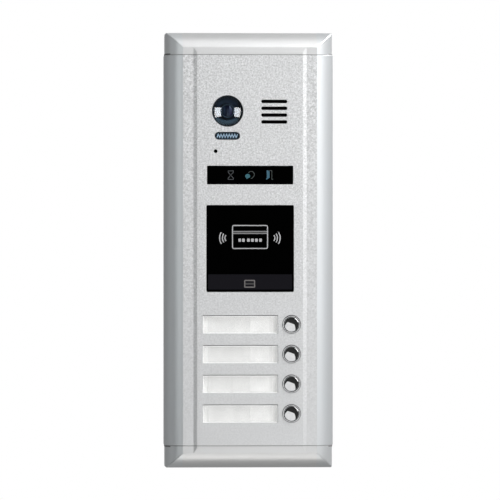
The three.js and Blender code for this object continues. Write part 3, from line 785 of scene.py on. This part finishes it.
def camera_parts():
    at = (CAMERA[0], 0, CAMERA[2])
    cy = FACE_Y - 4.5 + 18.8
    dome = lathe(
        [*arc_profile(18.8, cy, 0.0, 11.9, 16), (12.2, -41.3), (12.3, -40.7), (12.3, -38.0), (15.0, -38.0), (15.0, -36.8), (11.7, -36.8), (11.7, -40.4), *arc_profile(17.4, cy, 11.3, 0.0, 14)],
        96,
    )
    dome.piece("camera_dome_shell", [M["dome"]], replaces=("camera_dome",), slot="clear_plastic", at=at, weighted=False)
    # black ring that frames the view from behind the dome, and the fixed socket below it
    ring = lathe(
        [(10.9, -40.35), (11.1, -40.5), (11.35, -40.5), (11.55, -40.3), (11.6, -36.6), (11.6, -35.6), (14.8, -35.5), (14.8, -34.6), (18.0, -34.6), (18.0, -33.2), (14.8, -33.2), (14.8, -22.5), (12.4, -22.5), (12.4, -34.2), (11.5, -35.0), (11.45, -38.2), (10.9, -39.6)],
        80,
    )
    ring.piece("camera_socket_shell", [M["eye_black"]], replaces=("camera_socket",), slot="black_plastic", at=at, weighted=False)
    # the eye: a ball with a bowl-shaped face and a lens barrel in it
    ball = [(9.0 * math.sin(rad(a)), -31.0 + 9.0 * math.cos(rad(a))) for a in range(0, 135, 6)]
    ball[0] = (0.0, -22.0)
    eye = lathe(
        [*ball, (7.2, -36.4), (9.3, -36.5), (9.6, -36.8), (9.6, -37.2), (9.4, -37.35), (8.8, -37.1), (8.0, -36.6), (7.2, -36.0), (6.7, -35.6), (6.45, -35.6), (6.4, -36.0), (6.4, -38.9), (6.2, -39.3), (5.9, -39.5), (5.8, -40.7), (5.65, -40.95), (5.4, -41.0), (5.1, -40.85), (5.0, -40.4), (4.75, -40.3), (4.6, -39.9), (0.0, -39.9)],
        80,
        mats=[0] * (len(ball) + 10) + [1] * 11,
    )
    eye.piece("camera_eye_shell", [M["eye"], M["eye_black"]], body="camera_eye", replaces=("camera_ball",), slot="gloss_black", at=at, weighted=False, angle=40)
    rim = lathe([(5.05, -40.9), (5.15, -41.08), (5.35, -41.12), (5.5, -41.05), (5.5, -40.8), (5.05, -40.8)], 72)
    rim.piece("camera_lens_rim", [M["rim"]], body="camera_eye", slot="dark_metal", at=at, weighted=False)
    lens = lathe([(0.0, -41.3), *[(4.4 * k / 8, -41.3 + 1.0 * (k / 8) ** 2) for k in range(1, 9)], (4.4, -40.1), (0.0, -40.1)], 64)
    lens.piece("camera_lens_glass", [M["lens"]], body="camera_eye", replaces=("camera_lens",), slot="lens_glass", at=at, weighted=False)


camera_parts()


def lamp_parts():
    x, z, w, h = LAMP
    bed = plate(rrect(x, z, w, h, h / 2 - 0.01, 14), [(-0.2, -40.3), (0.0, -40.1), (0.0, -38.6)])
    bed.piece("lamp_bed", [M["navy"]], slot="black_plastic")
    n = 15
    zig = [(x - 8.4 + 16.8 * i / n, z + (1.3 if i % 2 else -1.3)) for i in range(n + 1)]
    ribbon(zig, 0.72, -40.9, -40.2).piece("lamp_prism_strip", [M["prism"]], slot="clear_plastic", angle=20)
    pane = plate(rrect(x, z, w, h, h / 2 - 0.01, 14), soft(-41.8, -41.0, 0.3, 3))
    pane.piece("lamp_window_pane", [M["pane"]], replaces=("lamp_window",), slot="clear_plastic")


lamp_parts()


# ------------------------------------------------------------------ windows
INK0, INK1 = -41.86, -41.6


def windows():
    x, z, w, h = STATUS
    s = plate(rrect(x, z, w, h, 0.5, 4), soft(-41.8, -38.6, 0.15, 3))
    s.piece("status_window_pane", [M["gloss"]], replaces=("status_window",), slot="gloss_black")
    x, z, w, h = READER
    cut = rrect(0.0, -25.85, 68.6, 12.4, 0.4, 3)
    s = plate(rrect(x, z, w, h, 1.0, 6), soft(-41.8, -38.6, 0.15, 3), holes=[(cut, hole_levels(-41.8, -38.6, 0.06, 2))])
    s.piece("reader_window_pane", [M["gloss"]], replaces=("reader_window",), slot="gloss_black")
    s = plate(rrect(0.0, -25.85, 68.5, 12.3, 0.35, 3), soft(-41.78, -38.7, 0.08, 2))
    s.piece("reader_strip_pane", [M["smoke"]], replaces=("reader_strip",), slot="smoke_plastic")
    for i, zz in enumerate(ROW_Z, 1):
        zc, nh = zz - 0.3, NAME[2] - 0.5
        # A dark strip under the top edge of each name window: painted shadow cast by the opening's edge on the pane.
        painted_shadow_line = plate(rrect(NAME[0], zz + NAME[2] / 2 - 0.29, NAME[1] - 0.2, 0.46, 0.1, 2), soft(-40.9, -38.6, 0.05, 1))
        painted_shadow_line.piece(f"name_window_gasket_{i}", [M["gasket"]], slot="black_plastic", weighted=False)
        # A glowing white frame round each pane: painted highlight along the window's edges, which also covers the shade
        # of the cavity walls.
        edge = rrect(NAME[0], zc, NAME[1], nh, 0.4, 3)
        s = plate(edge, soft(-41.25, -38.4, 0.3, 3), holes=[(rrect(NAME[0], zc, NAME[1] - 1.1, nh - 1.1, 0.3, 3), hole_levels(-41.25, -38.4, 0.12, 2))])
        s.piece(f"name_window_lip_{i}", [M["lip"]], slot="milky_plastic")
        s = plate(rrect(NAME[0], zc, NAME[1] - 1.15, nh - 1.15, 0.3, 3), soft(-41.1, -38.5, 0.1, 2))
        s.piece(f"name_window_pane_{i}", [M["clear"]], replaces=(f"name_window_{i}",), slot="clear_plastic")
        # A brighter sheet over the right part of each card; its glow is painted light.
        s = plate(rrect(8.2, zz, 15.6, 12.2, 0.4, 3), soft(-37.95, -37.8, 0.05, 2))
        s.piece(f"name_slip_{i}", [M["slip"]], slot="card_paper")


windows()


def pictograms():
    def show(name, shapes, mat):  # one flat print made of one or more closed shapes
        s = Shell()
        for q in shapes:
            s.add(q)
        s.piece(name, [mat], slot="card_paper", weighted=False)

    # wait: an hourglass outline
    top = [(-17.85, 64.7), (-13.75, 64.7), (-13.75, 63.5), (-15.8, 61.25), (-17.85, 63.5)]
    show("icon_wait", [ribbon(top, 0.62, INK0, INK1, True), ribbon([(a, 122.45 - b) for a, b in top], 0.62, INK0, INK1, True)], M["ink_outline"])
    # talk: a filled bubble before an outlined one
    blob = oval(-2.0, 60.5, 2.05, 1.75, -100, 232, 22) + [(-2.7, 58.0), (-1.9, 58.3)]
    show("icon_talk_bubble", [prism(blob, INK0, INK1)], M["ink_teal"])
    show("icon_talk_outline", [ribbon(oval(0.85, 61.75, 2.6, 2.6, 148, -58, 22) + [(1.6, 58.7), (0.5, 58.5)], 0.55, INK0, INK1)], M["ink_green"])
    # open: a door leaf in its frame
    leaf = [(13.5, 65.2), (14.5, 65.2), (15.9, 64.3), (15.9, 59.2), (13.7, 57.7), (12.95, 57.7), (12.95, 58.1), (13.7, 59.0)]
    show("icon_door_leaf", [prism(leaf, INK0, INK1)], M["ink_blue"])
    show("icon_door_frame", [ribbon([(15.2, 65.05), (17.75, 65.05), (17.75, 57.85), (18.9, 57.85)], 0.5, INK0, INK1)], M["ink_green"])
    # card with a stripe, and a row of plain blocks
    card = rrect(-0.07, 10.82, 29.6, 19.7, 1.7, 6)
    show("icon_card_outline", [prism(card(-0.08), INK0, INK1, [card(-0.9)])], M["ink_light"])
    show(
        "icon_card_stripes",
        [prism([(-13.9, z0), (13.75, z0), (13.75, z1), (-13.9, z1)], INK0, INK1) for z0, z1 in ((14.75, 15.75), (13.25, 14.25))],
        M["ink_mid"],
    )
    blocks = [rrect(cx, 8.2, 2.25, 2.7, 0.6, 4)(0.0) for cx in (-8.5, -5.5, -1.4, 1.9, 5.2, 8.5)]
    show("icon_card_blocks", [prism(b, INK0, INK1) for b in blocks], M["ink_light"])
    arcs = []
    for xm, xe, half in ((-24.9, -23.5, 4.7), (-22.6, -21.55, 3.55), (-20.55, -19.75, 2.4)):
        arcs.append(ribbon(bow(xm, xe, 9.95, half), 0.9, INK0, INK1))
        arcs.append(ribbon(bow(-xm - 0.35, -xe - 0.35, 9.95, half), 0.9, INK0, INK1))
    show("icon_radio_arcs", arcs, M["ink_light"])
    small = rrect(-0.35, -27.35, 9.0, 6.4, 1.0, 5)
    show("icon_strip_outline", [prism(small(0.0), INK0, INK1, [small(-0.95)])], M["ink_dim"])
    show("icon_strip_line", [prism([(-3.8, -28.0), (3.1, -28.0), (3.1, -26.8), (-3.8, -26.8)], INK0, INK1)], M["ink_faint"])


pictograms()


def wire_coil(r, y0, y1, turns, wire, sides=10, per_turn=20):
    """A round wire wound along Y, with one closed turn at each end."""
    s = Shell()
    pitch, total = wire * 2.1, turns + 2.0
    slope = (y1 - y0 - 2 * pitch) / turns
    n = int(total * per_turn)
    rings = []
    for i in range(n + 1):
        k = total * i / n
        if k <= 1:
            y, dy = y0 + pitch * k, pitch
        elif k >= total - 1:
            y, dy = y1 - pitch * (total - k), pitch
        else:
            y, dy = y0 + pitch + slope * (k - 1), slope
        a = 2 * math.pi * k
        along = Vector((-math.sin(a) * r * 2 * math.pi, dy, math.cos(a) * r * 2 * math.pi)).normalized()
        out = Vector((math.cos(a), 0, math.sin(a)))
        up = along.cross(out)
        mid = Vector((r * math.cos(a), y, r * math.sin(a)))
        rings.append(s.ring([mid + (out * math.cos(2 * math.pi * j / sides) + up * math.sin(2 * math.pi * j / sides)) * wire for j in range(sides)]))
    for a, b in zip(rings, rings[1:]):
        s.bridge(a, b)
    s.face(rings[0][::-1])
    s.face(rings[-1])
    return s


def buttons():
    for i, z in enumerate(ROW_Z, 1):
        at = (BUTTON_X, 0, z)
        R = 9.2
        cy = -45.2 + R
        dome = arc_profile(R, cy, 0.0, 6.0, 18)
        cap = lathe([*dome, (6.16, -42.6), (6.2, -42.2), (6.2, -33.2), (7.2, -33.2), (7.2, -31.8), (5.2, -31.8), (5.2, -41.0), (1.6, -41.2), (1.6, -27.4), (0.0, -27.4)], 96)
        cap.piece(f"button_cap_shell_{i}", [M["chrome"]], body=f"call_button_{i}", replaces=(f"button_cap_{i}",), slot="chrome", at=at, weighted=False, angle=40)
        # The outer slope of the ring takes the darkened chrome, painted shade that draws a dark line round the ring.
        ring = lathe(
            [(6.4, -42.5), (6.45, -42.75), (6.6, -42.95), (6.85, -43.0), (7.15, -42.95), (7.4, -42.8), (7.56, -42.55), (7.6, -42.3), (7.6, -42.15), (7.0, -42.1), (7.0, -33.6), (6.4, -33.6)],
            96,
            mats=[0, 0, 0, 0, 1, 1, 1, 1, 1, 0, 0, 0],
        )
        ring.piece(f"button_ring_{i}", [M["chrome"], M["dark_chrome"]], replaces=(f"button_bezel_{i}",), slot="chrome", at=at, weighted=False, angle=40)
        # the return spring, which the button squeezes against the board in the real thing, is built rigid on the panel,
        # so a pressed cap passes into it
        spring = wire_coil(3.5, -40.4, -28.5, 3.5, 0.4)
        spring = spring.piece(f"return_spring_{i}", [M["steel"]], replaces=(f"button_spring_{i}",), slot="zinc_steel", at=at, weighted=False, angle=50)
        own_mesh(spring)


buttons()

# ------------------------------------------------------------------ carried-over CAD nodes get their finish
FINISH = {
    "wall_bracket": "steel", "security_screw": "steel", "wall_seal": "rubber", "dome_seal": "rubber",
    "rear_cover": "black", "inner_chassis": "black", "camera_socket": "black", "camera_gimbal_ring": "black",
    "camera_board": "board", "antenna_board": "board",
    "button_board": "board", "main_board": "board", "lamp_board": "milky",
    "name_light_guide": "guide", "microphone": "cloth", "speaker_mesh": "cloth", "speaker_frame": "magnet",
    "speaker_cone": "cloth", "status_light_guide": "black", "terminal_block": "terminal",
    "volume_trimmer": "black", "volume_knob": "blue",
}
for n in frame["nodes"]:
    key = FINISH.get(n)
    if key is None:
        if n.startswith("name_card"):
            key = "paper"
        elif n.startswith(("button_spring", "rear_cover_screw")):
            key = "steel"
        elif n.startswith("call_switch"):
            key = "black"
        else:
            continue
    ob = frame["nodes"][n]
    ob.data.materials.clear()
    ob.data.materials.append(M[key])

# ------------------------------------------------------------------ floor, world and lights
fl = plate(rrect(0, 0, 8.0, 8.0, 0.5, 6), [(0, 0.0), (0, 0.02)])
me = bpy.data.meshes.new("floor")
me.from_pydata([(x, z, y - 0.60) for x, y, z in fl.v], [], fl.f)
floor = bpy.data.objects.new("floor", me)
SCENE.collection.objects.link(floor)
tf = Tree("pale_floor")
floor_col = tf.ramp(tf.noise(900.0, 2.0), [(0.3, (0.80, 0.80, 0.80)), (0.7, (0.83, 0.83, 0.83))])
pf = tf.principled(Base_Color=floor_col, Roughness=0.6)
tf.put(pf, "Emission Color", floor_col)
tf.put(pf, "Emission Strength", 0.72)
me.materials.append(tf.mat)
floor.visible_glossy = False
floor.visible_diffuse = False
floor.visible_shadow = False

world = bpy.data.worlds.new("studio")
SCENE.world = world
world.use_nodes = True
wn = world.node_tree
wn.nodes.clear()


def wnode(kind, op=None, **inputs):
    n = wn.nodes.new(kind)
    if op:
        n.operation = op
    for k, v in inputs.items():
        k = int(k[1:]) if k[0] == "i" and k[1:].isdigit() else k
        if isinstance(v, bpy.types.NodeSocket):
            wn.links.new(v, n.inputs[k])
        else:
            n.inputs[k].default_value = v
    return n


def heading(az, el):
    return Vector((math.sin(rad(az)) * math.cos(rad(el)), -math.cos(rad(az)) * math.cos(rad(el)), math.sin(rad(el))))


FILL, DARK, REAR = 0.015, 0.03, 0.38
way = wnode("ShaderNodeTexCoord").outputs["Generated"]


def side_of(normal, soft_deg):
    """1 on the side the normal points to, with a soft edge."""
    d = wnode("ShaderNodeVectorMath", "DOT_PRODUCT", i0=way, i1=tuple(normal)).outputs["Value"]
    w = math.sin(rad(soft_deg))
    m = wnode("ShaderNodeMapRange", i0=d, i1=-w, i2=w, i3=0.0, i4=1.0)
    m.interpolation_type = "SMOOTHSTEP"
    return m.outputs["Result"]


behind = side_of(Vector((0, 1, 0)), 16)
gloss = wnode("ShaderNodeMapRange", i0=behind, i1=0.0, i2=1.0, i3=DARK, i4=REAR).outputs["Result"]
lp = wnode("ShaderNodeLightPath")
bg_gloss = wnode("ShaderNodeBackground", Color=(1, 1, 1, 1), Strength=gloss)
bg_fill = wnode("ShaderNodeBackground", Color=(0.985, 0.995, 1.0, 1), Strength=FILL)
bg_cam = wnode("ShaderNodeBackground", Color=(1, 1, 1, 1), Strength=1.0)
mix1 = wnode("ShaderNodeMixShader", i0=lp.outputs["Is Glossy Ray"], i1=bg_fill.outputs[0], i2=bg_gloss.outputs[0])
mix2 = wnode("ShaderNodeMixShader", i0=lp.outputs["Is Camera Ray"], i1=mix1.outputs[0], i2=bg_cam.outputs[0])
wnode("ShaderNodeOutputWorld", Surface=mix2.outputs[0])


def area(name, az, el, dist, sx, sy, watts, color=(1, 1, 1), aim=(0, -0.03, 0)):
    d = bpy.data.lights.new(name, "AREA")
    d.shape, d.size, d.size_y, d.energy, d.color = "RECTANGLE", sx, sy, watts, color
    o = bpy.data.objects.new(name, d)
    SCENE.collection.objects.link(o)
    v = Vector((math.sin(rad(az)) * math.cos(rad(el)), -math.cos(rad(az)) * math.cos(rad(el)), math.sin(rad(el))))
    o.location = Vector(aim) + v * dist
    o.rotation_mode = "QUATERNION"
    o.rotation_quaternion = v.to_track_quat("Z", "Y")
    return o


LIGHTS = (
    ("key_upper_right", 42, 42, 21.4, (1, 1, 1)),
    ("front_soft", 12, 8, 3.15, (1, 1, 1)),
    ("right_soft", 42, 8, 3.4, (1, 1, 1)),
    ("right_side", 66, 8, 3.2, (1, 1, 1)),
    ("right_high", 66, 42, 12.9, (1, 1, 1)),
    ("top_soft", 30, 76, 3.4, (1, 1, 1)),
    ("front_low", 12, -28, 4.6, (1, 1, 1)),
    ("below", 0, -70, 5.6, (1.0, 0.99, 0.97)),
    ("left_front", -22, 8, 1.0, (1, 1, 1)),
    ("left_side", -55, 8, 4.0, (0.97, 1.0, 1.0)),
    ("left_edge", -95, 8, 0.9, (0.95, 0.99, 1.0)),
    ("right_edge", 90, 8, 0.75, (1, 1, 1)),
    ("right_rear", 118, 42, 18.0, (1, 1, 1)),
)
lamps = {name: area(name, az, el, 1.6, 0.9, 0.9, watts, color) for name, az, el, watts, color in LIGHTS}
# softboxes that show only in the camera dome: one on either side, and one low and blue
for name, az, el, w, h, watts, color in (
    ("dome_left", -51.5, 1.6, 0.60, 0.80, 10.5, (1, 1, 1)),
    ("dome_right", 54.0, 1.6, 0.62, 0.80, 10.0, (1, 1, 1)),
    ("dome_low", 0.0, -56.0, 2.5, 0.46, 2.2, (0.50, 0.80, 1.0)),
    ("dome_high", 0.0, 58.0, 2.5, 0.50, 0.5, (0.40, 0.62, 1.0)),
):
    lamps[name] = area(name, az, el, 1.0, w, h, watts, color)


def panel_light(name, corner, along, down, watts, color=(1, 1, 1)):
    """A rectangular light with one corner at a point and two sides along given vectors."""
    d = bpy.data.lights.new(name, "AREA")
    d.shape, d.size, d.size_y, d.energy, d.color = "RECTANGLE", along.length, down.length, watts, color
    o = bpy.data.objects.new(name, d)
    SCENE.collection.objects.link(o)
    x, y = along.normalized(), down.normalized()
    z = x.cross(y)
    mid = corner + along / 2 + down / 2
    o.matrix_world = Matrix(((x.x, y.x, z.x, mid.x), (x.y, y.y, z.y, mid.y), (x.z, y.z, z.z, mid.z), (0, 0, 0, 1)))
    return o


# what the chrome buttons mirror: a pale card at lower left, and a narrow streak at upper right
knob = Vector((BUTTON_X * MM, -0.0435, -0.097))
ray_a, ray_b, ray_c = heading(-43, 22), heading(30, -1.5), Vector((0.526, -0.129, -0.843)).normalized()
k_b = 2.0
k_a = 1.5
top_edge = ray_a * k_a - ray_b * k_b
k_c = ray_b.dot(top_edge) * k_b / ray_c.dot(top_edge)
side_edge = ray_c * k_c - ray_b * k_b
lamps["chrome_card"] = panel_light("chrome_card", knob + ray_b * k_b, top_edge, side_edge, 1.0)
lamps["chrome_card"].data.energy = 0.80 * math.pi * top_edge.length * side_edge.length
streak = Vector((0.775, -0.215, 0.595)).normalized()
t1 = Vector((0, -1, 0)).cross(streak).normalized()
t2 = streak.cross(t1)
lamps["chrome_streak"] = panel_light("chrome_streak", knob + streak * 2.0 - t1 * 0.75 - t2 * 0.13, t1 * 1.5, t2 * 0.26, 3.4)
lamps["behind"] = area("behind", 190, 30, 2.2, 1.6, 1.2, 30.0)

mirrors = ("camera_dome_shell", "button_cap_shell", "button_ring", "name_window_pane", "lamp_window_pane", "status_window_pane", "reader_window_pane", "reader_strip_pane")
groups = {key: bpy.data.collections.new("lit_" + key) for key in ("matte", "dome", "chrome", "back")}
for ob in SCENE.objects:
    if ob.type != "MESH":
        continue
    if ob.name.startswith("camera_dome_shell"):
        groups["dome"].objects.link(ob)
    elif ob.name.startswith(("button_cap_shell", "button_ring")):
        groups["chrome"].objects.link(ob)
    elif not ob.name.startswith(mirrors):
        groups["matte"].objects.link(ob)
    if ob.name.startswith(("rear_cover", "wall_", "terminal", "volume", "security", "main_board", "bracket")):
        groups["back"].objects.link(ob)
for name, o in lamps.items():
    key = "dome" if name.startswith("dome_") else "chrome" if name.startswith("chrome_") else "back" if name == "behind" else "matte"
    o.light_linking.receiver_collection = groups[key]

SCENE.view_settings.view_transform = "Standard"
SCENE.view_settings.look = "None"
SCENE.view_settings.exposure = 0.0
SCENE.view_settings.gamma = 1.0
